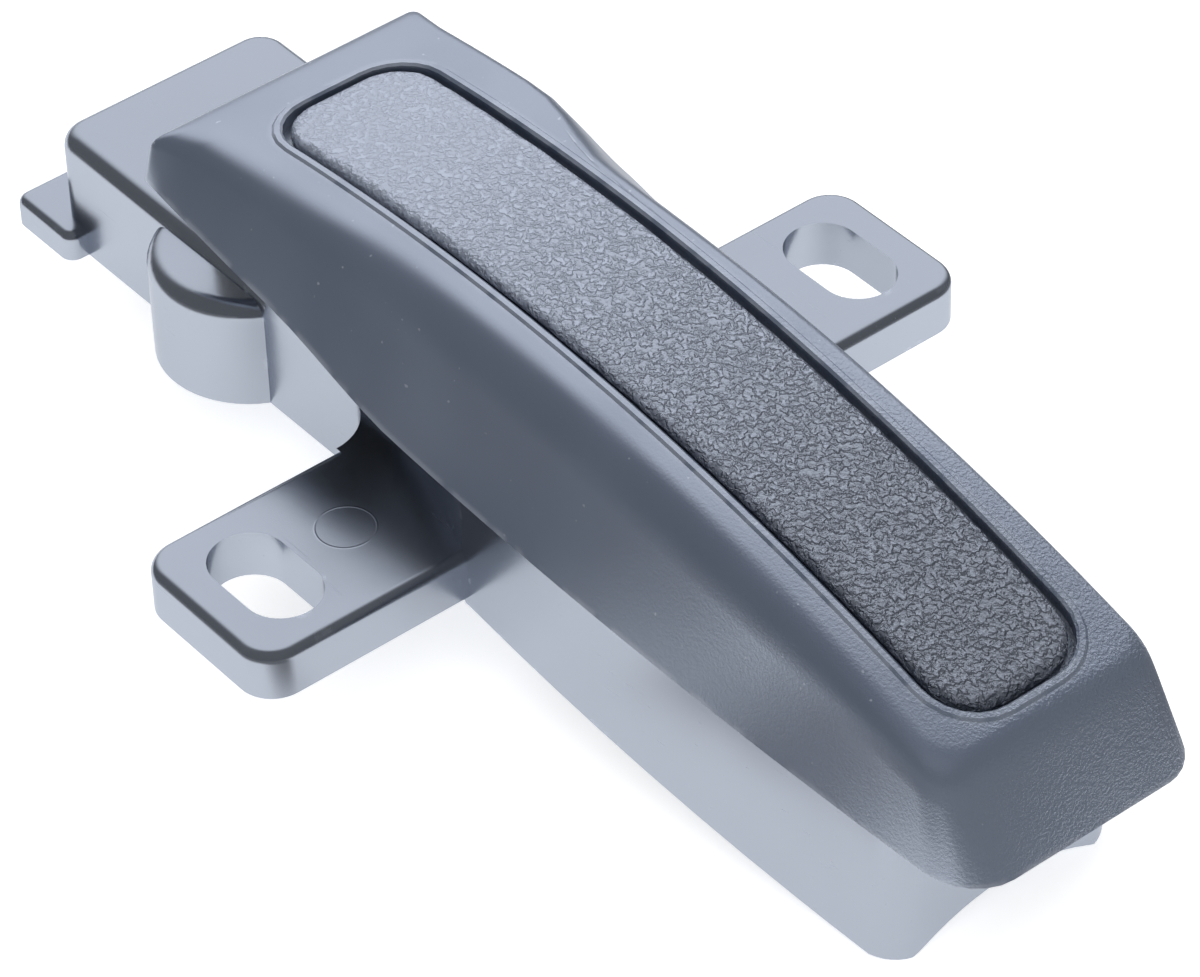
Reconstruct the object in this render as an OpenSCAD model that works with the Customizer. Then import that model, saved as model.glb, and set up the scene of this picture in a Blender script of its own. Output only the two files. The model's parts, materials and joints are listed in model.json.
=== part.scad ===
/* [Mounting ears] */
// Distance between the centres of the two slots
slot_pitch = 60; // [52:1:70]
// Width of a slot, for an M6 screw
slot_w = 6.7; // [5:0.1:7.5]
// Length of a slot along the handle
slot_l = 11.2; // [9:0.1:12]
// Width of an ear along the handle
ear_w = 17; // [15:0.5:20]
// Thickness of an ear
ear_t = 4.5; // [3.5:0.1:5.5]
// Plastic left between a slot and the tip of its ear
ear_margin = 3.3; // [2:0.1:5]
// Radius of an ear's corners in plan
ear_corner_r = 3.2; // [2:0.1:5]
// Radius of an ear's rounded top edges
ear_edge_r = 0.9; // [0.4:0.1:1.5]
// Radius of the fillet between an ear and the body
ear_fillet_r = 5; // [2:0.5:6]

/* [Body] */
// Distance from the slots' line to the rear end of the body
body_back = 55.3; // [53:0.1:60]
// Width of the body
body_w = 23; // [22:0.1:26]
// Height of the body's top above the ears' back
body_top = 7.4; // [6.8:0.1:8]
// Depth of the body below the ears' back
body_drop = 4; // [3.6:0.1:5]
// Wall of the moulding
wall = 2.2; // [1.8:0.1:2.6]
// Radius of the body's upright corners
body_corner_r = 2.8; // [1:0.1:4]
// Radius of rounded outer edges
edge_r = 1.5; // [0.6:0.1:2]
// Reach of the foot lip past the body's rear end
foot_reach = 4; // [1:0.1:5]
// Reach of the foot lip past the body's side walls
foot_side = 2; // [1:0.1:3]
// Height of the foot lip
foot_h = 2.8; // [1.5:0.1:3.5]
// Length of the foot lip along the side walls
foot_l = 4.2; // [1.5:0.1:5]

/* [Spring bosses] */
// Distance from the slots' line to the bosses
boss_back = 32.5; // [31:0.5:35]
// Distance of a boss from the middle
boss_y = 7.4; // [7.2:0.1:8]
// Radius of a boss
boss_r = 8.6; // [7.8:0.1:9.5]
// Step from the body's top down to a boss's top
boss_step = 1; // [0:0.1:1.5]
// Radius of a return plunger
plunger_r = 3.1; // [2.8:0.1:3.3]
// Wall of the tube that guides a plunger
tube_wall = 1.3; // [1:0.1:1.5]
// Wire of a return spring
spring_wire = 0.6; // [0.4:0.05:0.7]
// Turns of a return spring
spring_turns = 7; // [5:1:9]

/* [Lower hull] */
// Front end of the hull ahead of the slots' line
hull_front = 54; // [48:0.5:56]
// Depth of the hull's bottom edge at its front, below the ears' back
hull_drop = 10.3; // [9:0.1:12]
// Depth of the hull's bottom edge at the ears, below the ears' back
hull_back_drop = 1; // [0.6:0.1:3]
// Distance behind the slots' line where the hull leaves the body's sides
bow_back = 6.5; // [5:0.5:8]
// Distance ahead of the slots' line where the hull reaches its full width
bow_front = 8; // [6:0.5:9]
// Step from the cover's edge in to the hull's wall
hull_step = 0.4; // [0.3:0.1:1.5]
// Radius of the hull's front corners
hull_corner_r = 4; // [2:0.5:6]
// Height of the finger arch in the hull's front wall
hull_arch = 2.7; // [1:0.1:3.5]

/* [Lever cover] */
// Rear end of the cover behind the slots' line
cover_back = 36; // [34:0.5:38]
// Free end of the cover ahead of the slots' line
cover_front = 61.5; // [60:0.5:66]
// Overhang of the cover's lower edge past the body's side, at its widest
cover_overhang = 5.5; // [4.5:0.1:6]
// Place of the widest section ahead of the slots' line
cover_wide_x = 0; // [-3:0.5:3]
// Radius in plan of the left lower edge ahead of the widest section
left_front_r = 298; // [280:1:420]
// Radius in plan of the right lower edge ahead of the widest section
right_front_r = 480; // [400:5:800]
// Radius in plan of both lower edges behind the widest section
side_back_r = 324; // [300:2:600]
// Half width of the top at its rear
land_rear = 12.4; // [12:0.1:12.8]
// Half width of the top's left side ahead of the hinge
land_left = 11.8; // [11.2:0.1:12]
// Half width of the top's right side at the finger scoop
land_right = 9.6; // [9.5:0.1:11]
// Widening of the top's right side from the finger scoop to the free end
land_spread = 1.3; // [0:0.1:1.4]
// Distance behind the slots' line where the finger scoop starts
scoop_back = 18; // [16:0.5:22]
// Length over which the finger scoop deepens
scoop_l = 13; // [10:0.5:16]
// Height of the crown of the cover above the ears' back
crown_z = 22.5; // [22:0.1:24]
// Place of the crown, negative is behind the slots' line
crown_x = -2.4; // [-4:0.1:0]
// Radius of the arched top in side view
crown_r = 200; // [180:1:260]
// Radius in plan of the top edges' flare at the rear end
flare_r = 6.6; // [6:0.2:12]
// Start of that flare behind the slots' line
flare_back = 30; // [28:0.5:32]
// Height of the lower edge's rear curve at its highest point
rim_back_z = 15.4; // [15:0.1:16]
// Height of the lower edge's front curve at its highest point
rim_front_z = 13.5; // [13:0.1:14]
// Radius of the lower edge's rear curve in side view
rim_back_r = 450; // [420:1:600]
// Radius of the lower edge's front curve in side view
rim_front_r = 540; // [500:1:700]
// Distance behind the slots' line where the lower edge starts to pass to its front curve
rim_step_back = 16; // [12:0.5:18]
// Wall of the cover
cover_wall = 2; // [1.6:0.1:2.2]
// Radius in plan of the lower edge's left free corner
left_corner_r = 4.4; // [3:0.1:6]
// Radius in plan of the lower edge's right free corner
right_corner_r = 3.4; // [2.5:0.1:5]
// Radius in plan of the top's free corners
land_corner_r = 2.6; // [2:0.1:4]
// Slope of the free end, from its lower edge back to its top edge
cover_end_slope = 3; // [1:0.1:4]
// Depth of the cover's ceiling below its top
ceiling_depth = 3.6; // [3.2:0.1:4]

/* [Grip pad] */
// Rear end of the pad behind the slots' line
pad_back = 28.6; // [26:0.1:30]
// Front end of the pad ahead of the slots' line
pad_front = 55.6; // [50:0.1:56]
// Half width of the pad at its rear end
pad_half_rear = 6.9; // [6:0.1:7]
// Half width of the pad at its front end
pad_half_front = 6.5; // [5.5:0.1:6.8]
// Radius of the pad's corners
pad_corner_r = 4; // [2:0.1:5]
// Depth of the pocket that holds the pad
pocket_depth = 1.1; // [0.9:0.1:1.3]
// Width of the groove around the pad
groove_w = 0.6; // [0.3:0.05:0.8]
// Height of the bead around the groove
bead_h = 0.2; // [0.1:0.05:0.4]

/* [Hinge] */
// Distance of the hinge pin behind the slots' line
pin_back = 20; // [19:0.5:21]
// Height of the hinge pin above the ears' back
pin_z = 12.5; // [12.2:0.1:12.8]
// Radius of the hinge pin
pin_r = 2.5; // [2:0.1:2.6]
// Radial running clearance of the pin in its bushes
pin_clearance = 0.05; // [0.02:0.01:0.1]
// Thickness of a hinge cheek
cheek_t = 3; // [2.6:0.1:3.2]
// Radius of the cheeks and the knuckle around the pin
knuckle_r = 4.6; // [4.2:0.1:4.8]
// Wall of a hinge bush
bush_wall = 1; // [0.8:0.1:1.2]

/* [Draw slide] */
// Height of the drive pin above the ears' back
drive_z = 1.6; // [1.4:0.1:1.8]
// Radius of the drive pin
drive_r = 1.6; // [1.2:0.1:1.7]
// Half width of the slide's bar
bar_half_w = 2.3; // [2:0.1:2.4]
// Radius of the eye for the latch rod
rod_eye_r = 1.6; // [1:0.1:1.6]
// Thickness of the bottom cover
plate_t = 1.4; // [1.2:0.1:1.6]

/* [Hidden] */

$fn = 64;
wide_fn = 360;
overcut = 1;
seat = 0.05;
slip = 0.25;

black = [0.17, 0.18, 0.2];
grained = [0.25, 0.27, 0.3];
pad_grey = [0.33, 0.34, 0.36];
steel = [0.72, 0.73, 0.75];
zinc = [0.6, 0.61, 0.62];
bronze = [0.7, 0.55, 0.32];
rubber_black = [0.1, 0.1, 0.1];
nylon = [0.85, 0.84, 0.8];

// Ears and body
ear_half_span = slot_pitch / 2 + slot_w / 2 + ear_margin;
body_half_w = body_w / 2;
body_front = ear_w / 2;
body_h = body_top + body_drop;
cavity_half_w = body_half_w - wall;
cavity_top = body_top - wall;
cavity_back = -body_back + wall;
plate_top = -body_drop + plate_t;
foot_corner_r = foot_side * 0.6;
foot_edge_r = foot_side * 0.4;
window_half_w = 3.4;
window_top = 2.4;

// Spring bosses
tube_r = plunger_r + pin_clearance + tube_wall;
tube_floor_t = 0.8;
tube_floor = -body_drop + tube_floor_t;
boss_fillet_r = 2;

// Hull
hull_gap = 0.4;
arch_half_w = 9.5;
arch_r = (hull_arch * hull_arch + arch_half_w * arch_half_w) / (2 * hull_arch);
rib_t = 1.4;
rib_lift = 2;
rib_y = 4.8;
rib_count = 3;
rib_pitch = (hull_front - wall - body_front) / (rib_count + 1);

// Cover and pad
cover_half_w = body_half_w + cover_overhang;
rim_back_x = -46;
rim_front_x = -50;
cover_back_r = 0.9;
cover_back_slope = 0.6;
flare_right = 0.3;
soft_edge = 2.4;
flank_share = 0.68;
crease_steps = 7;
bead_w = 0.45;
bead_margin = 0.2;
bead_out = groove_w + 2 * bead_w + bead_margin;
bead_half = max(pad_half_rear, pad_half_front) + bead_out;
soft_left = min(soft_edge, land_left - bead_half);
soft_right = min(soft_edge, land_right - bead_half);
soft_front = min(soft_edge, cover_front - cover_end_slope - pad_front - bead_out);
soft_back = min(soft_edge, cover_back - cover_back_slope - pad_back - bead_out);
pad_crown = 0.15;
pad_edge_r = 0.5;

// Hinge
pin_x = -pin_back;
bush_r = pin_r + pin_clearance + bush_wall;
cheek_inner = body_half_w - cheek_t;
bush_flange_t = 0.6;
knuckle_half_w = cheek_inner - bush_flange_t - slip;
clip_t = 0.8;
clip_gap = 0.3;
clip_depth = 0.7;
clip_rim = 1.6;
clip_mouth = 1.7;
pin_end = 0.6;
pin_half_l = body_half_w + clip_gap + clip_t + pin_end;

// Lever carrier
carrier_t = 2.4;
carrier_end_gap = 0.7;
carrier_back = cover_back - cover_wall - carrier_end_gap;
carrier_front = 46;
carrier_half_w = 9.3;
carrier_windows = [[-4, 11], [15, 27]];
carrier_window_half_w = 5.5;
cheek_notch = 1;
flange_t = 1.6;
flange_h = 2.4;
flange_back = -13;
flange_front = 34;
tail_half_w = 2.4;
tail_t = 4;
tail_swing = 3;
tail_rim = 0.9;
screw_x = [-9, 31];
screw_y = 5.7;
screw_r = 1;
screw_hole_r = screw_r + seat;
screw_head_r = 1.7;
screw_head_h = 1.1;
screw_bite = 1.8;
screw_tip_gap = 0.2;
screw_slope = (screw_x[1] + screw_head_r - crown_x) / (crown_r - ceiling_depth - carrier_t);
screw_lift = screw_head_r * screw_slope + 2 * seat;

// Draw slide and bottom cover
post_r = 2.1;
post_gap = 0.2;
post_y = cavity_half_w - post_r - post_gap;
bar_bottom = plate_top + slip;
bar_top = 1;
bar_back = cavity_back + slip + overcut;
fork_half_w = post_y - post_r - post_gap;
fork_inner = tail_half_w + slip;
fork_top = cavity_top - overcut;
fork_half_l = 4.6;
fork_lash = 0.3;
fork_floor = drive_z - drive_r - tail_rim - slip;
guide_t = 1.3;
guide_gap = 1;
eye_inset = 3.6;
eye_x = bar_back + eye_inset;
plate_reach = 5.4;
plate_back = -boss_back - tube_r - plate_reach;
plate_front = -9.8;
plate_half_w = cavity_half_w - slip;
plate_screw_inset = 2.3;
bottom_screw_x = [plate_back + plate_screw_inset, plate_front - plate_screw_inset];
bottom_screw_l = 6;
screw_sink = 0.7;

// Buffers
rest_x = 41;
rest_y = 5;
rest_r = 3;
stop_half_w = 3.4;
stop_l = 5;
stop_rise = 0.95;
recess = 1;

// Return plungers and springs
plunger_gap = 0.3;
plunger_dome_h = 0.9;
plunger_base = 3;
plunger_wall = 0.8;
plunger_roof = 1.4;
spring_gap = 0.15;
spring_sides = 6;
spring_ring_steps = 14;

// Heights and half widths of the cover along the handle
function arc_z(x, top_x, top_z, r) = top_z - r + sqrt(r * r - (x - top_x) * (x - top_x));
function top_z(x) = arc_z(x, crown_x, crown_z, crown_r);
function ease(t) = let (u = max(0, min(1, t))) u * u * (3 - 2 * u);
function rim_back(x) = arc_z(x, rim_back_x, rim_back_z, rim_back_r);
function rim_front(x) = arc_z(x, rim_front_x, rim_front_z, rim_front_r);
function rim_height(x) = lerp(rim_back(x), rim_front(x), ease((x + rim_step_back) / rim_step_back));
function flare(x, side) =
    pow(max(0, -flare_back - x), 2) / (2 * flare_r) * (side < 0 ? 1 : flare_right);
function land_front(x, side) = side < 0 ? land_left : land_right + land_spread * max(0, x) / cover_front;
function land_half(x, side) =
    lerp(land_rear, land_front(x, side), ease((x + scoop_back) / scoop_l)) + flare(x, side);
function side_r(x, side) = x < cover_wide_x ? side_back_r : side < 0 ? left_front_r : right_front_r;
function edge_half(x, side) = cover_half_w - pow(x - cover_wide_x, 2) / (2 * side_r(x, side));
function lerp(a, b, t) = a + (b - a) * t;

// Half outlines in plan: round corner, side, round corner, as [x, half width] points
corner_steps = 6;
side_steps = 30;
outline_steps = 2 * corner_steps + side_steps;
function outline_x(i, x0, x1, r0, r1) =
    i < corner_steps ? x0 + r0 * (1 - cos(90 * i / corner_steps)) :
    i > corner_steps + side_steps ? x1 - r1 * (1 - cos(90 * (outline_steps - i) / corner_steps)) :
    lerp(x0 + r0, x1 - r1, (i - corner_steps) / side_steps);
function corner_cut(i, r0, r1) =
    i < corner_steps ? r0 * (1 - sin(90 * i / corner_steps)) :
    i > corner_steps + side_steps ? r1 * (1 - sin(90 * (outline_steps - i) / corner_steps)) : 0;

function low_outline(inset, side) = [for (i = [0:outline_steps])
    let (r = side < 0 ? left_corner_r : right_corner_r,
        x = outline_x(i, -cover_back + inset, cover_front - inset, cover_back_r, r))
    [x, edge_half(x, side) - inset - corner_cut(i, cover_back_r, r)]];
function land_outline(back, front, inset, side) = [for (i = [0:outline_steps])
    let (x = outline_x(i, -cover_back + cover_back_slope + back, cover_front - cover_end_slope - front,
        cover_back_r, land_corner_r))
    [x, land_half(x, side) - inset - corner_cut(i, cover_back_r, land_corner_r)]];
function pad_half(x) = lerp(pad_half_rear, pad_half_front, (x + pad_back) / (pad_front + pad_back));
function pad_outline(grow) = [for (i = [0:outline_steps])
    let (x = outline_x(i, -pad_back - grow, pad_front + grow, pad_corner_r + grow, pad_corner_r + grow))
    [x, pad_half(x) + grow - corner_cut(i, pad_corner_r + grow, pad_corner_r + grow)]];

// Closed rings of points: a right and a left half outline with a height for each point
function closed(right, left) =
    concat(right, [for (i = [len(left) - 1:-1:0]) [left[i][0], -left[i][1]]]);
function on_top(outline, rise) = [for (p = outline) [p[0], p[1], top_z(p[0]) + rise]];
function low_ring(inset) = [for (p = closed(low_outline(inset, 1), low_outline(inset, -1)))
    [p[0], p[1], rim_height(p[0])]];
function land_ring(back, front, right, left) =
    on_top(closed(land_outline(back, front, right, 1), land_outline(back, front, left, -1)), 0);
function pad_ring(grow, rise) = on_top(closed(pad_outline(grow), pad_outline(grow)), rise);
function blend_rings(a, b, t) = [for (i = [0:len(a) - 1]) lerp(a[i], b[i], t)];
function curve_rings(a, b, c, t) = blend_rings(blend_rings(a, b, t), blend_rings(b, c, t), t);

// Inner edge of the ceiling, a wall in from the flank at that depth
function ceiling_ring() =
    let (low = low_ring(cover_wall), crease = land_ring(cover_wall, cover_wall, cover_wall, cover_wall))
    [for (i = [0:len(low) - 1])
        let (h = crease[i][2] - low[i][2], p = lerp(low[i], crease[i], max(0, 1 - ceiling_depth / h)))
        [p[0], p[1], top_z(p[0]) - ceiling_depth]];

// Height of the carrier's underside
function carrier_under(x) =
    let (depth = ceiling_depth + seat + carrier_t)
    arc_z(x, crown_x, crown_z - depth, crown_r - depth);

bow_half = edge_half(bow_front, -1) - hull_step - seat;
bow_run = overcut * (bow_front + bow_back) / (bow_half - body_half_w);
plunger_rest = carrier_under(-boss_back) - plunger_gap;

// Closed solid through a stack of rings
module ring_loft(rings) {
    n = len(rings[0]);
    points = [for (r = rings) each r];
    walls = [for (k = [0:len(rings) - 2]) for (i = [0:n - 1])
        let (a = k * n + i, b = k * n + (i + 1) % n)
        each [[a, b, b + n], [a, b + n, a + n]]];
    last = (len(rings) - 1) * n;
    first_cap = [for (i = [0:n / 2 - 2]) each [[i, n - 1 - i, n - 2 - i], [i, n - 2 - i, i + 1]]];
    last_cap = [for (f = first_cap) [for (v = [2, 1, 0]) f[v] + last]];
    polyhedron(points, concat(walls, first_cap, last_cap), convexity = 6);
}

// Children on one side of the middle plane, -1 for the left and 1 for the right
module mirror_y(side) {
    mirror([0, side < 0 ? 1 : 0, 0]) children();
}

// Upright section with its two top corners rounded
module arch_section(w, h, r) {
    translate([-w / 2, 0]) square([w, h - r]);
    translate([-w / 2 + r, 0]) square([w - 2 * r, h]);
    for (s = [-1, 1])
        translate([s * (w / 2 - r), h - r]) circle(r);
}

// Block with round upright corners and rounded top edges
module soft_block(x, y, z, corner, edge) {
    along_x = x - 2 * corner;
    along_y = y - 2 * corner;
    rotate([90, 0, 0]) translate([0, 0, -along_y / 2]) linear_extrude(along_y) arch_section(x, z, edge);
    rotate([90, 0, 90]) translate([0, 0, -along_x / 2]) linear_extrude(along_x) arch_section(y, z, edge);
    for (sx = [-1, 1], sy = [-1, 1])
        translate([sx * along_x / 2, sy * along_y / 2, 0]) soft_post(corner, z, edge);
}

// Round post with a rounded top edge
module soft_post(r, z, edge) {
    rotate_extrude() intersection() {
        arch_section(2 * r, z, edge);
        square([r, z]);
    }
}

// Cylinder along Y, centred on the middle plane
module cross_cylinder(r, l) {
    rotate([90, 0, 0]) cylinder(h = l, r = r, center = true);
}

// Everything below an arc in side view, the arc moved in by a gap
module below_arc(apex_x, apex_z, r, gap) {
    translate([apex_x, 0, apex_z - r]) cross_cylinder(r - gap, 4 * cover_half_w, $fn = wide_fn);
}

// Ears with their slots and the fillets to the body
module ears() {
    difference() {
        union() {
            soft_block(ear_w, 2 * ear_half_span, ear_t, ear_corner_r, ear_edge_r);
            for (s = [-1, 1]) mirror_y(s) ear_fillet();
        }
        for (s = [-1, 1])
            translate([0, s * slot_pitch / 2, -overcut]) linear_extrude(ear_t + 2 * overcut) slot_shape();
    }
}

module slot_shape() {
    run = slot_l - slot_w;
    square([run, slot_w], center = true);
    for (s = [-1, 1])
        translate([s * run / 2, 0]) circle(slot_w / 2);
}

module ear_fillet() {
    translate([-ear_w / 2 - ear_fillet_r, body_half_w - overcut, 0])
        linear_extrude(ear_t) difference() {
            square([ear_fillet_r + overcut, ear_fillet_r + overcut]);
            translate([0, ear_fillet_r + overcut]) circle(ear_fillet_r);
        }
}

// One spring boss with its fillets to the side wall
module boss() {
    reach = body_half_w + boss_fillet_r - boss_y;
    along = sqrt(pow(boss_r + boss_fillet_r, 2) - reach * reach);
    share = boss_r / (boss_r + boss_fillet_r);
    height = body_h - boss_step;
    translate([-boss_back, boss_y, -body_drop]) {
        soft_post(boss_r, height, edge_r);
        linear_extrude(height - edge_r) difference() {
            polygon([[0, 0], [along * share, reach * share], [along, reach],
                [along, reach - boss_fillet_r], [-along, reach - boss_fillet_r], [-along, reach],
                [-along * share, reach * share]]);
            for (s = [-1, 1]) translate([s * along, reach]) circle(boss_fillet_r);
        }
    }
}

// Foot lip around the rear end of the body
module foot() {
    length = foot_reach + foot_l;
    translate([-body_back - foot_reach + length / 2, 0, -body_drop])
        soft_block(length, body_w + 2 * foot_side, foot_h, foot_corner_r, foot_edge_r);
}

// Outer form of the hull, or its hollow when moved in by a wall
module hull_form(inset, top_gap, front, bottom_gap) {
    low_z = -hull_drop - 2 * overcut;
    intersection() {
        below_arc(rim_front_x, rim_front_z, rim_front_r, top_gap);
        hull_side_section(front, bottom_gap);
        translate([0, 0, low_z]) linear_extrude(rim_front_z - low_z) hull_plan(inset, front);
    }
}

// Plan of the hull: a rear that widens from inside the body, then two slightly curved sides
module hull_plan(inset, front) {
    half = cover_half_w - hull_step - inset;
    intersection() {
        translate([bow_front, -cover_half_w]) square([front - bow_front, 2 * cover_half_w]);
        translate([cover_wide_x, left_front_r - half]) circle(left_front_r, $fn = wide_fn);
        translate([cover_wide_x, half - left_front_r]) circle(left_front_r, $fn = wide_fn);
    }
    rear = -bow_back - bow_run;
    rear_half = body_half_w - overcut - inset;
    polygon([[rear, rear_half], [bow_front, bow_half - inset], [bow_front + overcut, 0],
        [bow_front, inset - bow_half], [rear, -rear_half]]);
}

// Side view of the hull: level under the ears, then sloping down to the front
module hull_side_section(front, bottom_gap) {
    back = -bow_back - bow_run;
    fall = (hull_drop - hull_back_drop) / (hull_front - body_front);
    half_w = cover_half_w + overcut;
    rotate([90, 0, 0]) translate([0, 0, -half_w]) linear_extrude(2 * half_w)
        polygon([[back, -hull_back_drop - bottom_gap], [body_front, -hull_back_drop - bottom_gap],
            [front, -hull_back_drop - fall * (front - body_front) - bottom_gap],
            [front, rim_front_z], [back, rim_front_z]]);
}

// Rounds the hull's front corners, from just outside the sides
module hull_corner_cut() {
    back = hull_front - hull_corner_r;
    half = edge_half(back, -1) - hull_step + seat;
    for (s = [-1, 1]) mirror_y(s)
        translate([back, half - hull_corner_r, -hull_drop - overcut])
            linear_extrude(hull_drop + rim_front_z + overcut) difference() {
                square(2 * hull_corner_r);
                circle(hull_corner_r);
            }
}

module hull_shell() {
    difference() {
        hull_form(0, hull_gap, hull_front, 0);
        hull_corner_cut();
        hull_form(wall, hull_gap + wall, hull_front - wall, overcut);
        translate([hull_front - wall - overcut, 0, -hull_drop + hull_arch - arch_r]) rotate([0, 90, 0])
            cylinder(h = wall + 2 * overcut, r = arch_r);
    }
    intersection() {
        hull_form(wall / 2, hull_gap + wall / 2, hull_front - wall / 2, -rib_lift);
        hull_ribs();
    }
}

// Crossed ribs inside the hull
module hull_ribs() {
    for (k = [1:rib_count])
        translate([body_front + k * rib_pitch, 0, 0])
            cube([rib_t, 2 * cover_half_w, 4 * rim_front_z], center = true);
    for (s = [-1, 1])
        translate([body_front, s * rib_y - rib_t / 2, -2 * rim_front_z])
            cube([hull_front - body_front, rib_t, 4 * rim_front_z]);
}

// One hinge cheek beside the knuckle
module cheek() {
    translate([pin_x, body_half_w, 0]) rotate([90, 0, 0]) linear_extrude(cheek_t) {
        translate([0, pin_z]) circle(knuckle_r);
        translate([-knuckle_r, body_top - wall]) square([2 * knuckle_r, pin_z - body_top + wall]);
    }
}

// Hollow of the body, with its tubes, posts and guides left standing
module body_hollow() {
    difference() {
        translate([cavity_back, -cavity_half_w, -body_drop - overcut])
            cube([plate_front + slip - cavity_back, 2 * cavity_half_w, cavity_top + body_drop + overcut]);
        for (s = [-1, 1]) {
            translate([-boss_back, s * boss_y, -body_drop - 2 * overcut])
                cylinder(h = 2 * body_h, r = tube_r);
            for (x = bottom_screw_x)
                translate([x, s * post_y, plate_top]) cylinder(h = body_h, r = post_r);
            slide_guide(s, cavity_back - overcut, plate_back, bar_half_w + slip);
            slide_guide(s, pin_x - fork_half_l - guide_gap, plate_front + overcut, fork_half_w + slip);
        }
    }
}

module slide_guide(side, x0, x1, inner) {
    translate([x0, side > 0 ? inner : -inner - guide_t, plate_top])
        cube([x1 - x0, guide_t, body_h]);
}

module base_housing() {
    color(black) difference() {
        union() {
            ears();
            translate([(body_front - body_back) / 2, 0, -body_drop])
                soft_block(body_front + body_back, body_w, body_h, body_corner_r, edge_r);
            for (s = [-1, 1]) mirror_y(s) {
                boss();
                cheek();
            }
            foot();
            hull_shell();
        }
        body_hollow();
        base_cuts();
    }
}

// Bores, the rod window, the tail's slot and the seats of the buffers
module base_cuts() {
    for (s = [-1, 1]) {
        translate([-boss_back, s * boss_y, tube_floor])
            cylinder(h = body_h, r = plunger_r + pin_clearance);
        for (x = bottom_screw_x)
            translate([x, s * post_y, -body_drop]) cylinder(h = bottom_screw_l, r = screw_r);
        translate([rest_x, s * rest_y, rim_front(rest_x) - hull_gap - recess])
            cylinder(h = rim_front_z, r = rest_r);
    }
    translate([pin_x, 0, pin_z]) cross_cylinder(bush_r, body_w + overcut);
    translate([-body_back - foot_reach - overcut, -window_half_w, -body_drop - overcut])
        cube([foot_reach + wall + 2 * overcut, 2 * window_half_w, window_top + body_drop + overcut]);
    translate([pin_x - tail_t, -fork_half_w, cavity_top - overcut])
        cube([tail_t + tail_swing + tail_t, 2 * fork_half_w, wall + 2 * overcut]);
    translate([-boss_back - stop_l / 2, -stop_half_w, body_top - recess])
        cube([stop_l, 2 * stop_half_w, 2 * recess]);
}

module bottom_cover() {
    color(black) difference() {
        translate([plate_back, -plate_half_w, -body_drop])
            cube([plate_front - plate_back, 2 * plate_half_w, plate_t]);
        for (s = [-1, 1]) {
            translate([-boss_back, s * boss_y, -body_drop - overcut])
                cylinder(h = plate_t + 2 * overcut, r = tube_r + slip);
            for (x = bottom_screw_x) translate([x, s * post_y, -body_drop - overcut]) {
                cylinder(h = plate_t + 2 * overcut, r = screw_r);
                cylinder(h = overcut + screw_sink, r = screw_head_r);
            }
        }
    }
}

module bottom_screws() {
    color(steel) for (s = [-1, 1], x = bottom_screw_x) translate([x, s * post_y, -body_drop]) {
        cylinder(h = bottom_screw_l, r = screw_r);
        cylinder(h = screw_sink, r = screw_head_r);
    }
}

// Flanged bush in a cheek
module hinge_bush(side) {
    color(bronze) mirror_y(side) translate([pin_x, body_half_w, pin_z]) rotate([90, 0, 0]) difference() {
        union() {
            cylinder(h = cheek_t, r = bush_r);
            translate([0, 0, cheek_t]) cylinder(h = bush_flange_t, r = bush_r + bush_wall);
        }
        translate([0, 0, -overcut]) cylinder(h = body_w, r = pin_r + pin_clearance);
    }
}

module hinge_bush_left() {
    hinge_bush(-1);
}

module hinge_bush_right() {
    hinge_bush(1);
}

module stop_buffer() {
    color(rubber_black) translate([-boss_back - stop_l / 2, -stop_half_w, body_top - recess])
        cube([stop_l, 2 * stop_half_w, recess + stop_rise]);
}

// Rubber buffer between the hull's deck and the carrier
module rest_buffer(side) {
    bottom = rim_front(rest_x) - hull_gap - recess;
    top = carrier_under(rest_x + rest_r) - slip;
    color(rubber_black) translate([rest_x, side * rest_y, bottom]) cylinder(h = top - bottom, r = rest_r);
}

module rest_buffer_left() {
    rest_buffer(-1);
}

module rest_buffer_right() {
    rest_buffer(1);
}

module lever_cover() {
    low = low_ring(0);
    crease = land_ring(0, 0, 0, 0);
    land = land_ring(soft_back, soft_front, soft_right, soft_left);
    flank = blend_rings(low, crease, flank_share);
    color(grained) difference() {
        ring_loft(concat(
            [ceiling_ring(), low_ring(cover_wall), low],
            [for (k = [0:crease_steps]) curve_rings(flank, crease, land, k / crease_steps)],
            [pad_ring(groove_w + 2 * bead_w, 0),
            pad_ring(groove_w + 1.5 * bead_w, bead_h),
            pad_ring(groove_w + 0.5 * bead_w, bead_h),
            pad_ring(groove_w, 0),
            pad_ring(groove_w, -pocket_depth)]));
        screw_places() translate([0, 0, -overcut])
            cylinder(h = overcut + screw_bite + screw_tip_gap, r = screw_hole_r);
    }
}

// Places of the carrier's screws, on the ceiling
module screw_places() {
    for (x = screw_x, s = [-1, 1])
        translate([x, s * screw_y, top_z(x) - ceiling_depth - seat]) children();
}

module grip_pad() {
    side = pad_ring(0, pad_crown - pad_edge_r);
    edge = pad_ring(0, pad_crown);
    top = pad_ring(-pad_edge_r, pad_crown);
    color(pad_grey) ring_loft(concat(
        [pad_ring(0, seat - pocket_depth)],
        [for (t = [0, 0.5, 1]) curve_rings(side, edge, top, t)]));
}

// Curved plate under the ceiling
module carrier_slab(t, half_w, back, front) {
    intersection() {
        difference() {
            below_arc(crown_x, crown_z, crown_r, ceiling_depth + seat);
            below_arc(crown_x, crown_z, crown_r, ceiling_depth + seat + t);
        }
        translate([back, -half_w, 0]) cube([front - back, 2 * half_w, crown_z]);
    }
}

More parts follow.
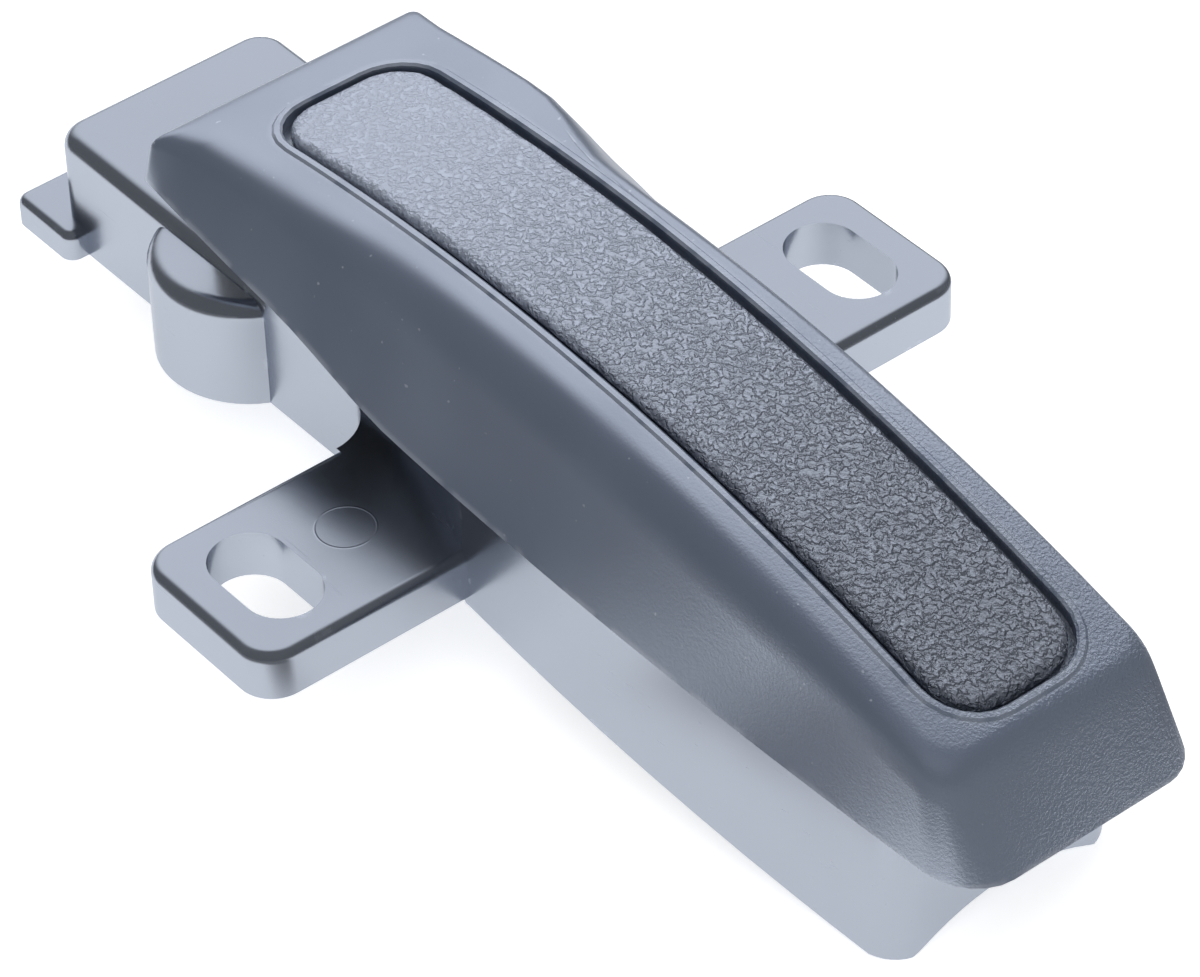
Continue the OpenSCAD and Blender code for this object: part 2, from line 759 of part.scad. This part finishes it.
module lever_carrier() {
    color(zinc) difference() {
        union() {
            carrier_slab(carrier_t, carrier_half_w, -carrier_back, carrier_front);
            for (s = [-1, 1]) translate([0, s * (carrier_half_w - flange_t / 2), 0])
                carrier_slab(carrier_t + flange_h, flange_t / 2, flange_back, flange_front);
            knuckle();
            tail();
        }
        translate([pin_x, 0, pin_z]) cross_cylinder(pin_r, body_w);
        translate([pin_x, 0, drive_z]) cross_cylinder(drive_r, body_w);
        screw_places() translate([0, 0, -crown_z]) cylinder(h = 2 * crown_z, r = screw_hole_r);
        for (s = [-1, 1]) mirror_y(s)
            translate([pin_x - knuckle_r - cheek_notch, knuckle_half_w, 0])
                cube([2 * (knuckle_r + cheek_notch), body_half_w, crown_z]);
        for (w = carrier_windows)
            translate([w[0], -carrier_window_half_w, 0])
                cube([w[1] - w[0], 2 * carrier_window_half_w, 2 * crown_z]);
    }
}

// Barrel around the pin, joined up to the plate
module knuckle() {
    intersection() {
        translate([pin_x, knuckle_half_w, 0]) rotate([90, 0, 0]) linear_extrude(2 * knuckle_half_w) {
            translate([0, pin_z]) circle(knuckle_r);
            translate([-knuckle_r, pin_z]) square([2 * knuckle_r, crown_z - pin_z]);
        }
        below_arc(crown_x, crown_z, crown_r, ceiling_depth + seat);
    }
}

// Arm from the knuckle down to the drive pin
module tail() {
    translate([pin_x, tail_half_w, 0]) rotate([90, 0, 0]) linear_extrude(2 * tail_half_w) {
        translate([-tail_t / 2, drive_z]) square([tail_t, pin_z - drive_z]);
        translate([0, drive_z]) circle(drive_r + tail_rim);
    }
}

module carrier_screws() {
    color(steel) screw_places() {
        translate([0, 0, -carrier_t - screw_lift])
            cylinder(h = carrier_t + screw_lift + screw_bite, r = screw_r);
        translate([0, 0, -carrier_t - screw_lift - screw_head_h])
            cylinder(h = screw_head_h, r = screw_head_r);
    }
}

module hinge_pin() {
    color(steel) translate([pin_x, 0, pin_z]) difference() {
        cross_cylinder(pin_r, 2 * pin_half_l);
        for (s = [-1, 1]) translate([0, s * (body_half_w + clip_gap + clip_t / 2), 0]) difference() {
            cross_cylinder(pin_r + overcut, clip_t);
            cross_cylinder(pin_r - clip_depth, clip_t + overcut);
        }
    }
}

// Open retaining rings in the pin's grooves
module pin_clips() {
    color(steel) for (s = [-1, 1])
        translate([pin_x, s * (body_half_w + clip_gap + clip_t / 2), pin_z]) difference() {
            cross_cylinder(pin_r + clip_rim, clip_t);
            cross_cylinder(pin_r - clip_depth, clip_t + overcut);
            translate([0, 0, -2 * pin_r]) cube([2 * clip_mouth, body_w, 4 * pin_r], center = true);
        }
}

module drive_pin() {
    color(steel) translate([pin_x, 0, drive_z]) cross_cylinder(drive_r, 2 * (fork_half_w - slip));
}

// Bar with a rod eye at the rear and a fork around the drive pin
module draw_slide() {
    fork_x = pin_x - fork_half_l;
    color(nylon) difference() {
        union() {
            translate([bar_back, -bar_half_w, bar_bottom])
                cube([fork_x - bar_back + overcut, 2 * bar_half_w, bar_top - bar_bottom]);
            translate([fork_x, -fork_half_w, bar_bottom])
                cube([2 * fork_half_l, 2 * fork_half_w, fork_top - bar_bottom]);
        }
        translate([fork_x - overcut, -fork_inner, fork_floor])
            cube([2 * fork_half_l + 2 * overcut, 2 * fork_inner, body_h]);
        translate([pin_x - drive_r - fork_lash, -body_w / 2, drive_z])
            cube([2 * (drive_r + fork_lash), body_w, body_h]);
        translate([pin_x, 0, drive_z]) cross_cylinder(drive_r + fork_lash, body_w);
        translate([eye_x, 0, -body_h]) cylinder(h = 2 * body_h, r = rod_eye_r);
    }
}

// Hollow plunger with a domed head
module return_plunger(side) {
    dome_r = (plunger_r * plunger_r + plunger_dome_h * plunger_dome_h) / (2 * plunger_dome_h);
    color(nylon) translate([-boss_back, side * boss_y, 0]) difference() {
        intersection() {
            translate([0, 0, plunger_base]) cylinder(h = plunger_rest - plunger_base, r = plunger_r);
            translate([0, 0, plunger_rest - dome_r]) sphere(dome_r);
        }
        translate([0, 0, plunger_base - overcut])
            cylinder(h = plunger_rest - plunger_dome_h - plunger_roof - plunger_base + overcut,
                r = plunger_r - plunger_wall);
    }
}

module return_plunger_left() {
    return_plunger(-1);
}

module return_plunger_right() {
    return_plunger(1);
}

// Compression spring from the tube's floor to the plunger's roof, a swept round wire
module return_spring(side) {
    r = plunger_r - plunger_wall - spring_wire / 2 - spring_gap;
    bottom = tube_floor + spring_wire / 2 + seat;
    top = plunger_rest - plunger_dome_h - plunger_roof - spring_wire / 2 - seat;
    steps = spring_turns * spring_ring_steps;
    points = [for (k = [0:steps], j = [0:spring_sides - 1])
        let (turn = 360 * k / spring_ring_steps, a = 360 * j / spring_sides,
            reach = r + spring_wire / 2 * cos(a))
        [reach * cos(turn), reach * sin(turn), lerp(bottom, top, k / steps) + spring_wire / 2 * sin(a)]];
    walls = [for (k = [0:steps - 1], j = [0:spring_sides - 1])
        let (a = k * spring_sides + j, b = k * spring_sides + (j + 1) % spring_sides)
        each [[a, b + spring_sides, b], [a, a + spring_sides, b + spring_sides]]];
    caps = [[for (j = [0:spring_sides - 1]) j],
        [for (j = [spring_sides - 1:-1:0]) steps * spring_sides + j]];
    color(steel) translate([-boss_back, side * boss_y, 0])
        polyhedron(points, concat(walls, caps), convexity = 10);
}

module return_spring_left() {
    return_spring(-1);
}

module return_spring_right() {
    return_spring(1);
}

base_housing();
bottom_cover();
bottom_screws();
hinge_bush_left();
hinge_bush_right();
stop_buffer();
rest_buffer_left();
rest_buffer_right();
lever_cover();
grip_pad();
lever_carrier();
carrier_screws();
hinge_pin();
pin_clips();
drive_pin();
draw_slide();
return_plunger_left();
return_plunger_right();
return_spring_left();
return_spring_right();
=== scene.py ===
"""Interior door handle, dressed for a studio picture. Metres, in the row frame."""
import json
import math

import bmesh
import bpy
from mathutils import Matrix, Vector, noise as soft_noise

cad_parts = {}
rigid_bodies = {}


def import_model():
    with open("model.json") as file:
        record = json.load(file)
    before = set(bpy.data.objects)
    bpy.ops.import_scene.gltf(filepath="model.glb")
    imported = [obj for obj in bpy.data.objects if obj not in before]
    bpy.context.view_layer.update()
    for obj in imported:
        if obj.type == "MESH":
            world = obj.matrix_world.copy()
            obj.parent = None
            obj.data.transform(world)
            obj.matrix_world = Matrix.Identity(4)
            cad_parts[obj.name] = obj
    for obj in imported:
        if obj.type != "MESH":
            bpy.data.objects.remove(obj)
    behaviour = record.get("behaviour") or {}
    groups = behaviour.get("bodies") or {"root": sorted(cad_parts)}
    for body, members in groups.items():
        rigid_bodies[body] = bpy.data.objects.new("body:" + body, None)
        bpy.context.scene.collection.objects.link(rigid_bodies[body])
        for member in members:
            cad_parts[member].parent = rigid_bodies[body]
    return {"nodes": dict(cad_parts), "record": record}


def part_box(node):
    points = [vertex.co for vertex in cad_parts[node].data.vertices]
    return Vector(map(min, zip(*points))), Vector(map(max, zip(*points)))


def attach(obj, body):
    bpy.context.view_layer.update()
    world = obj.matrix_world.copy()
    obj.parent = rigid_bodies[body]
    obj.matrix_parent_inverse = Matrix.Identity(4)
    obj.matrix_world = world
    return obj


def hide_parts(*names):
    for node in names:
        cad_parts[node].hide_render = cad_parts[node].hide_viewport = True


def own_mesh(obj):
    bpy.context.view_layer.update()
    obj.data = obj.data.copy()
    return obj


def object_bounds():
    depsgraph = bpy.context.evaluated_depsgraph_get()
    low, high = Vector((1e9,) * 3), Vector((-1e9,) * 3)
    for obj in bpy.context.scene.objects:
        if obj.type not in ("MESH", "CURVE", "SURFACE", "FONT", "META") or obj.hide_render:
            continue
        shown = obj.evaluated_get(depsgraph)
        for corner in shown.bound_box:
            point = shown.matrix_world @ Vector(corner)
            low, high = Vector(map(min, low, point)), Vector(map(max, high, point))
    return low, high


for left_over in list(bpy.data.objects):
    bpy.data.objects.remove(left_over)

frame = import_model()
cad_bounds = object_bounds()
nodes = frame["nodes"]
scene = bpy.context.scene
MM = 0.001

# Ejector mark on the near ear's upper face
MARK_PLACE = (-0.37 * MM, -21.75 * MM, 0)
MARK_R = 2.5 * MM
EAR_TOP_FROM = 3.5 * MM
# Soft insert
PAD_VOXEL = 0.4 * MM
PAD_SWELL = 0.06 * MM
# Return springs
SPRING_TURNS = 7
SPRING_WIRE_R = 0.3 * MM
# Sheen of the plastics: an index of refraction above a real plastic's gives the strong reflections
BASE_IOR = 4.0
COVER_IOR = 3.5
PAD_IOR = 3.4
BLUE_SHEEN = (0.8, 0.87, 1.0, 1)
# Shading of the CAD nodes
WELD_WITHIN = 0.001 * MM
SHARP_ANGLE = math.radians(32)
# Floor: the sheet, and where it fades in reflections, as the last full place and the first dim one; in
# reflections only a glowing patch beside the handle shows, a painted reflection in the handle's walls
FLOOR_REACH = 2.0
FLOOR_GAP = 0.05 * MM
FLOOR_GLOW = 0.6
FLOOR_FAR_TONE = (0.35, 0.35, 0.35, 1)
HULL_ASIDE = (25 * MM, 33 * MM)
HULL_AHEAD = (66 * MM, 78 * MM)
EARS_ASIDE = (52 * MM, 80 * MM)
EARS_AHEAD = (15 * MM, 27 * MM)
FAR_EAR_MORE = 20 * MM
NEAR_TO_FAR = (-20 * MM, 20 * MM)
# Fill lamp over the camera
FILL_PLACE = (0.41, -0.32, 0.74)
FILL_SIZE = 1.0
FILL_POWER = 5.2
# Direction of the broad light behind the handle, and the angles at which it is full and gone
WINDOW = (-0.65, 0.57, 0.5)
WINDOW_FULL = math.radians(18)
WINDOW_GONE = math.radians(50)
WINDOW_LIGHT = (1.5, 1.52, 1.57, 1)
STUDIO_LIGHT = (0.2, 0.203, 0.21, 1)
# Camera at the photograph's angle
CAMERA_PLACE = (0.28413, -0.21821, 0.30981)
CAMERA_RIGHT = Vector((0.632, 0.774, -0.025))
CAMERA_DOWN = Vector((0.498, -0.431, -0.752))
CAMERA_FORWARD = Vector((-0.593, 0.463, -0.659))
CAMERA_LENS = 173.9
CAMERA_SENSOR = 36.0


# Shader helpers
def new_tree(name):
    """An empty material and its node tree."""
    material = bpy.data.materials.new(name)
    material.use_nodes = True
    material.node_tree.nodes.clear()
    return material, material.node_tree


def feed(tree, socket, value):
    """A node or socket is linked to the input, any other value is set on it."""
    if isinstance(value, bpy.types.Node):
        tree.links.new(value.outputs[0], socket)
    elif isinstance(value, bpy.types.NodeSocket):
        tree.links.new(value, socket)
    else:
        socket.default_value = value


def put(tree, kind, **values):
    """A new node with its properties and inputs; i0, i1 and so on are inputs by their place."""
    n = tree.nodes.new(kind)
    for key, value in values.items():
        if hasattr(n, key):
            setattr(n, key, value)
        elif key[:1] == "i" and key[1:].isdigit():
            feed(tree, n.inputs[int(key[1:])], value)
        else:
            feed(tree, n.inputs[key.replace("_", " ")], value)
    return n


def math_node(tree, operation, a, b=0.0, clamp=False):
    """A sum, product or other operation on numbers."""
    return put(tree, "ShaderNodeMath", operation=operation, use_clamp=clamp, i0=a, i1=b)


def vector_node(tree, operation, a, b):
    """An operation on two vectors."""
    return put(tree, "ShaderNodeVectorMath", operation=operation, i0=a, i1=b)


def ramp(tree, value, low, high, to_low=0.0, to_high=1.0):
    """value from low to high becomes to_low to to_high, smoothly and clamped."""
    return put(tree, "ShaderNodeMapRange", interpolation_type="SMOOTHSTEP", Value=value,
               From_Min=low, From_Max=high, To_Min=to_low, To_Max=to_high)


def mix_colour(tree, factor, a, b):
    """Colour a at factor 0, colour b at factor 1."""
    n = put(tree, "ShaderNodeMix", data_type="RGBA")
    for place_in, value in ((0, factor), (6, a), (7, b)):
        feed(tree, n.inputs[place_in], value)
    return n.outputs[2]


def place(tree):
    """Coordinates of the piece in metres, which travel with it."""
    return put(tree, "ShaderNodeTexCoord").outputs["Object"]


def split_place(tree, where):
    """The x, y and z of a place as three sockets."""
    return put(tree, "ShaderNodeSeparateXYZ", Vector=where).outputs


def noise(tree, where, scale, detail=2.0, rough=0.5):
    """Soft noise from 0 to 1; scale is in waves per metre."""
    n = put(tree, "ShaderNodeTexNoise", Vector=where, Scale=scale, Detail=detail, Roughness=rough)
    return n.outputs["Fac"]


def edge_mask(tree, radius):
    """1 along edges that turn sharply within the radius, 0 on open faces."""
    rounded = put(tree, "ShaderNodeBevel", samples=4, Radius=radius)
    flat = put(tree, "ShaderNodeNewGeometry").outputs["Normal"]
    turn = vector_node(tree, "DOT_PRODUCT", rounded, flat).outputs["Value"]
    return ramp(tree, turn, 0.88, 0.995, 1.0, 0.0)


def finish_tree(tree, surface):
    """Connects the shader to the material's output."""
    out = put(tree, "ShaderNodeOutputMaterial")
    tree.links.new(surface.outputs[0], out.inputs["Surface"])


# Materials
def smooth_plastic():
    """Polished black moulding: faint flow marks, fine scratches, worn edges and an ejector mark."""
    material, tree = new_tree("base_smooth")
    where = place(tree)
    flow = noise(tree, where, 60.0, 3.0)
    fine = noise(tree, where, 1400.0, 2.0)
    drawn = put(tree, "ShaderNodeMapping", Vector=where, Rotation=(0, 0, 0.5), Scale=(60, 2600, 2600))
    scratch = ramp(tree, noise(tree, drawn, 1.0, 3.0, 0.7), 0.66, 0.74)
    patches = ramp(tree, noise(tree, where, 420.0, 3.0), 0.6, 0.68)
    nicks = math_node(tree, "MULTIPLY", edge_mask(tree, 0.9 * MM), patches)
    plain = mix_colour(tree, flow, (0.026, 0.03, 0.037, 1), (0.034, 0.038, 0.046, 1))
    colour = mix_colour(tree, nicks, plain, (0.3, 0.33, 0.37, 1))
    polish = ramp(tree, flow, 0.3, 0.7, 0.19, 0.26)
    rough = math_node(tree, "ADD", polish, math_node(tree, "MULTIPLY", scratch, 0.08))
    axes = split_place(tree, where)
    in_plan = put(tree, "ShaderNodeCombineXYZ", X=axes[0], Y=axes[1])
    from_mark = vector_node(tree, "DISTANCE", in_plan, MARK_PLACE).outputs["Value"]
    off_ring = math_node(tree, "ABSOLUTE", math_node(tree, "SUBTRACT", from_mark, MARK_R))
    on_top = ramp(tree, axes[2], EAR_TOP_FROM, EAR_TOP_FROM + 0.5 * MM)
    ring = math_node(tree, "MULTIPLY", ramp(tree, off_ring, 0.0, 0.14 * MM, 1.0, 0.0), on_top)
    height = math_node(tree, "SUBTRACT", math_node(tree, "MULTIPLY", fine, 0.5), scratch)
    skin = put(tree, "ShaderNodeBump", Strength=0.06, Distance=0.04 * MM, Height=height)
    bump = put(tree, "ShaderNodeBump", Strength=0.25, Distance=0.04 * MM, Height=ring, Normal=skin)
    surface = put(tree, "ShaderNodeBsdfPrincipled", Base_Color=colour, Roughness=rough, IOR=BASE_IOR,
                  Specular_Tint=BLUE_SHEEN, Normal=bump)
    finish_tree(tree, surface)
    return material


def grained_plastic():
    """Spark-eroded grain, coarser and lighter towards the free end, with a little dust, rims partly worn
    and partly given a painted edge highlight, and painted shade in the groove and other recesses.
    """
    material, tree = new_tree("cover_grained")
    # light grey of the dust specks, and of the rims, where it is partly wear and partly a painted edge
    # highlight
    worn = (0.3, 0.33, 0.38, 1)
    where = place(tree)
    axes = split_place(tree, where)
    coarse = math_node(tree, "MULTIPLY", ramp(tree, axes[0], 5 * MM, 58 * MM, 0.12, 0.7),
                       ramp(tree, axes[1], -13 * MM, 8 * MM, 0.2, 1.2))
    grain = noise(tree, where, 3600.0, 2.0, 0.6)
    cloud = noise(tree, where, 90.0, 2.0)
    pits = ramp(tree, grain, 0.36, 0.64)
    specks = ramp(tree, noise(tree, where, 1500.0, 1.0), 0.76, 0.8)
    patches = ramp(tree, noise(tree, where, 400.0), 0.35, 0.55)
    # rims: the edge mask lightens patches along the edges, partly as wear and partly as a painted edge
    # highlight
    rim = math_node(tree, "MULTIPLY", edge_mask(tree, 0.8 * MM), patches)
    plain = mix_colour(tree, cloud, (0.06, 0.08, 0.125, 1), (0.08, 0.105, 0.16, 1))
    # colour lighter towards the free end
    lighter_at_free_end = mix_colour(tree, ramp(tree, axes[0], 50 * MM, 61 * MM), plain, (0.11, 0.14, 0.2, 1))
    dusty = mix_colour(tree, specks, lighter_at_free_end, worn)
    rims_worn_and_highlit = mix_colour(tree, rim, dusty, worn)
    # painted shade: an ambient-occlusion mask mixes the colour towards near black in the groove and other
    # recesses, where shade falls
    painted_groove_shade = put(tree, "ShaderNodeAmbientOcclusion", samples=4, Distance=1.2 * MM).outputs["AO"]
    colour = mix_colour(tree, ramp(tree, painted_groove_shade, 0.15, 0.6), (0.006, 0.007, 0.01, 1), rims_worn_and_highlit)
    rough = ramp(tree, cloud, 0.3, 0.7, 0.29, 0.37)
    bump = put(tree, "ShaderNodeBump", Strength=coarse, Distance=0.05 * MM, Height=pits)
    surface = put(tree, "ShaderNodeBsdfPrincipled", Base_Color=colour, Roughness=rough, IOR=COVER_IOR,
                  Specular_Tint=BLUE_SHEEN, Normal=bump)
    finish_tree(tree, surface)
    return material


def soft_pad():
    """Leather grain of the soft insert: small cushions between dark, winding wrinkles, crisper in front,
    and a painted reflection that makes the rear lighter than the front.
    """
    material, tree = new_tree("pad_leather")
    where = place(tree)
    axes = split_place(tree, where)
    winding = put(tree, "ShaderNodeTexNoise", Vector=where, Scale=1900.0, Detail=2.0,
                  Roughness=0.5, Distortion=0.4)
    cushion = ramp(tree, winding.outputs["Fac"], 0.4, 0.64)
    lumps = noise(tree, where, 4200.0, 2.0)
    height = math_node(tree, "ADD", cushion, math_node(tree, "MULTIPLY", lumps, 0.25))
    # painted reflection: the light tone at the rear stands for the light behind the handle mirrored in the
    # pad, the dark tone at the front for the dim studio above
    pale = mix_colour(tree, cushion, (0.22, 0.245, 0.305, 1), (0.3, 0.335, 0.415, 1))
    dark = mix_colour(tree, cushion, (0.06, 0.068, 0.085, 1), (0.12, 0.132, 0.166, 1))
    colour = mix_colour(tree, ramp(tree, axes[0], -5 * MM, 48 * MM), pale, dark)
    depth = ramp(tree, axes[0], -25 * MM, 35 * MM, 0.3, 1.0)
    bump = put(tree, "ShaderNodeBump", Strength=depth, Distance=0.32 * MM, Height=height)
    rough = ramp(tree, lumps, 0.3, 0.7, 0.32, 0.4)
    surface = put(tree, "ShaderNodeBsdfPrincipled", Base_Color=colour, Roughness=rough, IOR=PAD_IOR,
                  Specular_Tint=BLUE_SHEEN, Normal=bump)
    finish_tree(tree, surface)
    return material


def metal(name, colour, rough, scale):
    """Bare metal with a fine uneven polish."""
    material, tree = new_tree(name)
    where = place(tree)
    polish = noise(tree, where, scale, 4.0, 0.6)
    worn = ramp(tree, polish, 0.3, 0.7, rough - 0.08, rough + 0.08)
    tint = mix_colour(tree, polish, [c * 0.85 for c in colour] + [1], list(colour) + [1])
    bump = put(tree, "ShaderNodeBump", Strength=0.1, Distance=0.03 * MM, Height=polish)
    surface = put(tree, "ShaderNodeBsdfPrincipled", Base_Color=tint, Metallic=1.0,
                  Roughness=worn, Normal=bump)
    finish_tree(tree, surface)
    return material


def matt(name, colour, rough, scale, depth):
    """Rubber or nylon with a dull, slightly uneven skin."""
    material, tree = new_tree(name)
    where = place(tree)
    skin = noise(tree, where, scale, 3.0)
    tint = mix_colour(tree, skin, [c * 0.8 for c in colour] + [1], list(colour) + [1])
    worn = ramp(tree, skin, 0.3, 0.7, rough - 0.06, rough + 0.06)
    bump = put(tree, "ShaderNodeBump", Strength=depth, Distance=0.04 * MM, Height=skin)
    surface = put(tree, "ShaderNodeBsdfPrincipled", Base_Color=tint, Roughness=worn, Normal=bump)
    finish_tree(tree, surface)
    return material


finishes = {
    "base_plastic": smooth_plastic(),
    "grained_plastic": grained_plastic(),
    "soft_pad": soft_pad(),
    "zinc_screw": metal("zinc_plate", (0.66, 0.67, 0.69), 0.3, 900.0),
    "bronze_bush": metal("oiled_bronze", (0.7, 0.52, 0.3), 0.35, 1200.0),
    "rubber_black": matt("moulded_rubber", (0.03, 0.03, 0.03), 0.7, 1500.0, 0.3),
    "die_cast": metal("die_cast_zinc", (0.42, 0.43, 0.45), 0.5, 700.0),
    "steel_pin": metal("ground_steel", (0.62, 0.63, 0.65), 0.22, 1600.0),
    "pale_nylon": matt("natural_nylon", (0.78, 0.77, 0.72), 0.45, 800.0, 0.15),
    "spring_steel": metal("drawn_wire", (0.55, 0.56, 0.58), 0.28, 2000.0),
}

# Every node takes its finish; welded corners and split sharp edges give clean shading
for part in frame["record"]["subparts"]:
    piece = nodes[part["node"]]
    piece.data.materials.clear()
    piece.data.materials.append(finishes[part["material_slot"]])
    bpy.context.view_layer.objects.active = piece
    bpy.ops.mesh.customdata_custom_splitnormals_clear()
    for face in piece.data.polygons:
        face.use_smooth = True
    weld = piece.modifiers.new("weld", "WELD")
    weld.merge_threshold = WELD_WITHIN
    split = piece.modifiers.new("split", "EDGE_SPLIT")
    split.split_angle = SHARP_ANGLE


# Soft insert
def soft_insert(solid, voxel, swell):
    """A skin of its own: the solid's outline with a softened rim and a slightly uneven crown."""
    shape = solid.copy()
    shape.data = solid.data.copy()
    shape.modifiers.clear()
    scene.collection.objects.link(shape)
    remesh = shape.modifiers.new("remesh", "REMESH")
    remesh.mode = "VOXEL"
    remesh.voxel_size = voxel
    smooth = shape.modifiers.new("smooth", "SMOOTH")
    smooth.factor = 0.5
    smooth.iterations = 3
    skin = bpy.data.meshes.new_from_object(shape.evaluated_get(bpy.context.evaluated_depsgraph_get()))
    bpy.data.objects.remove(shape)
    grown = bmesh.new()
    grown.from_mesh(skin)
    grown.normal_update()
    for v in grown.verts:
        upward = max(0.0, v.normal.z)
        uneven = 0.5 + 0.5 * soft_noise.noise(v.co * 180.0)
        v.co += v.normal * swell * upward * uneven
    grown.to_mesh(skin)
    grown.free()
    for face in skin.polygons:
        face.use_smooth = True
    insert = bpy.data.objects.new("pad_skin", skin)
    scene.collection.objects.link(insert)
    return insert


pad = soft_insert(nodes["grip_pad"], PAD_VOXEL, PAD_SWELL)
pad.data.materials.clear()
pad.data.materials.append(finishes["soft_pad"])
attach(pad, "lever")
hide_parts("grip_pad")


# Return springs
def coil(node, turns, wire_r, steps=28, sides=10):
    """A round-wire helix that fills the box of the CAD spring."""
    low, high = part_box(node)
    middle = (low + high) / 2
    r = (high.x - low.x) / 2 - wire_r
    count = turns * steps
    points = []
    for k in range(count + 1):
        turn = math.tau * k / steps
        height = low.z + wire_r + (high.z - low.z - 2 * wire_r) * k / count
        for j in range(sides):
            a = math.tau * j / sides
            reach = r + wire_r * math.cos(a)
            points.append((middle.x + reach * math.cos(turn), middle.y + reach * math.sin(turn),
                           height + wire_r * math.sin(a)))
    faces = []
    for k in range(count):
        for j in range(sides):
            here = k * sides
            after = here + sides
            beside = (j + 1) % sides
            faces.append((here + j, after + j, after + beside, here + beside))
    faces.append(tuple(range(sides)))
    faces.append(tuple(count * sides + j for j in reversed(range(sides))))
    mesh = bpy.data.meshes.new(node + "_coil")
    mesh.from_pydata(points, [], faces)
    for face in mesh.polygons:
        face.use_smooth = len(face.vertices) == 4
    spring = bpy.data.objects.new(node + "_coil", mesh)
    scene.collection.objects.link(spring)
    return spring


# Each spring becomes a round-wire coil on the base, in place of its CAD node
for side in ("left", "right"):
    node = "return_spring_" + side
    spring = coil(node, SPRING_TURNS, SPRING_WIRE_R)
    spring.data.materials.append(finishes["spring_steel"])
    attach(spring, "base")
    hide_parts(node)
    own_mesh(spring)


# Floor
def floor_sheet():
    """Pale matt sheet: white to the camera; in reflections it glows white only in a patch beside the
    handle, a painted reflection in the handle's walls, and is dim grey further off.
    """
    material, tree = new_tree("floor_white")
    spot = place(tree)
    paper = noise(tree, spot, 400.0, 2.0)
    axes = split_place(tree, spot)
    aside = math_node(tree, "ABSOLUTE", axes[1])
    beside_hull = math_node(tree, "MULTIPLY", ramp(tree, aside, *HULL_ASIDE, 1.0, 0.0),
                            ramp(tree, axes[0], *HULL_AHEAD, 1.0, 0.0))
    set_back = ramp(tree, axes[1], *NEAR_TO_FAR, 0.0, FAR_EAR_MORE)
    ahead = math_node(tree, "SUBTRACT", axes[0], set_back)
    beside_ears = math_node(tree, "MULTIPLY", ramp(tree, aside, *EARS_ASIDE, 1.0, 0.0),
                            ramp(tree, ahead, *EARS_AHEAD, 1.0, 0.0))
    # painted reflection: beside the hull and the ears the floor glows for reflected rays, so the handle's
    # walls mirror a bright patch
    painted_reflection_patch = math_node(tree, "MAXIMUM", beside_hull, beside_ears)
    rays = put(tree, "ShaderNodeLightPath")
    seen = rays.outputs["Is Camera Ray"]
    mirrored = math_node(tree, "ADD", rays.outputs["Is Glossy Ray"],
                         rays.outputs["Is Transmission Ray"], True)
    sheet = mix_colour(tree, paper, (0.92, 0.92, 0.92, 1), (0.95, 0.95, 0.95, 1))
    tone = mix_colour(tree, math_node(tree, "MAXIMUM", seen, painted_reflection_patch), FLOOR_FAR_TONE, sheet)
    to_camera = math_node(tree, "MULTIPLY", seen, FLOOR_GLOW)
    shown = math_node(tree, "ADD", to_camera, math_node(tree, "MULTIPLY", mirrored, painted_reflection_patch))
    glow = put(tree, "ShaderNodeEmission", Color=(1, 1, 1, 1), Strength=shown)
    matt_sheet = put(tree, "ShaderNodeBsdfDiffuse", Color=tone)
    finish_tree(tree, put(tree, "ShaderNodeAddShader", i0=glow, i1=matt_sheet))
    return material


floor_mesh = bpy.data.meshes.new("floor")
corners = [(x * FLOOR_REACH, y * FLOOR_REACH, 0) for x, y in ((-1, -1), (1, -1), (1, 1), (-1, 1))]
floor_mesh.from_pydata(corners, [], [(0, 1, 2, 3)])
floor = bpy.data.objects.new("floor", floor_mesh)
floor.location.z = cad_bounds[0].z - FLOOR_GAP
scene.collection.objects.link(floor)
floor.data.materials.append(floor_sheet())

# Light: one broad soft source behind the handle, a wide fill over the camera, a dim studio around them
fill_data = bpy.data.lights.new("fill", "AREA")
fill_data.shape = "DISK"
fill_data.size = FILL_SIZE
fill_data.energy = FILL_POWER
fill = bpy.data.objects.new("fill", fill_data)
fill.location = FILL_PLACE
fill.rotation_euler = (-fill.location).to_track_quat("-Z", "Y").to_euler()
fill.visible_glossy = False
scene.collection.objects.link(fill)

world = bpy.data.worlds.new("studio")
scene.world = world
world.use_nodes = True
tree = world.node_tree
tree.nodes.clear()
ray = put(tree, "ShaderNodeTexCoord").outputs["Generated"]
facing = vector_node(tree, "DOT_PRODUCT", ray, Vector(WINDOW).normalized()).outputs["Value"]
glow = ramp(tree, facing, math.cos(WINDOW_GONE), math.cos(WINDOW_FULL))
sky = mix_colour(tree, glow, STUDIO_LIGHT, WINDOW_LIGHT)
background = put(tree, "ShaderNodeBackground", Color=sky, Strength=1.0)
world_out = put(tree, "ShaderNodeOutputWorld")
tree.links.new(background.outputs[0], world_out.inputs["Surface"])

# Camera
turned = Matrix((CAMERA_RIGHT, -CAMERA_DOWN, -CAMERA_FORWARD)).transposed()
camera_data = bpy.data.cameras.new("camera")
camera_data.sensor_width = CAMERA_SENSOR
camera_data.lens = CAMERA_LENS
camera_data.clip_start = 0.01
camera = bpy.data.objects.new("camera", camera_data)
camera.rotation_mode = "QUATERNION"
camera.rotation_quaternion = turned.to_quaternion().normalized()
camera.location = CAMERA_PLACE
scene.collection.objects.link(camera)
scene.camera = camera
scene.view_settings.view_transform = "Standard"
